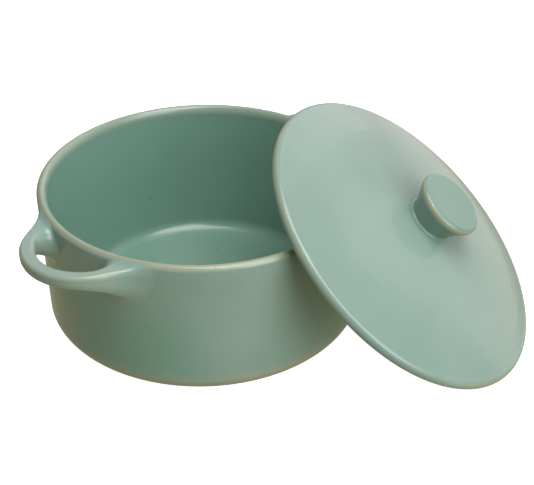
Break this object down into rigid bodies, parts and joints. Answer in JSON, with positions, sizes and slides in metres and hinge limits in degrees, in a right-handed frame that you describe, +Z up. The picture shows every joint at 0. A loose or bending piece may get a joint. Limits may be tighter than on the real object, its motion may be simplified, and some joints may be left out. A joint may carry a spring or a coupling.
{
  "type": "mini casserole dish",
  "caption": "Small round stoneware casserole pot with ear handles under its rim and a domed lid with a flared knob, shown taken off and leaning on the pot.",
  "frame": {"origin": "the middle of the pot's flat base, on the table", "axes": "+Z up along the pot's axis, the left handle on -X, the lid leaning towards -Y"},
  "size_m": [0.1866, 0.1901, 0.0852],
  "materials": {
    "pot_glaze": "satin sea-green glaze that breaks to tan on the edges",
    "left_handle_glaze": "satin sea-green glaze that breaks to tan on the edges",
    "right_handle_glaze": "satin sea-green glaze that breaks to tan on the edges",
    "lid_glaze": "satin pale sea-green glaze that breaks to tan on the edge",
    "knob_glaze": "satin sea-green glaze that breaks to tan on the edge"
  },
  "bodies": {
    "pot": {"pot_body": "pot_glaze", "handle_left": "left_handle_glaze", "handle_right": "right_handle_glaze"},
    "lid": {"lid_dome": "lid_glaze", "lid_knob": "knob_glaze"}
  },
  "joints": [
    {"name": "lid_lift", "type": "slide", "parent": "pot", "child": "lid", "axis": [0, 0, 1], "range_m": [0, 0.1]}
  ]
}
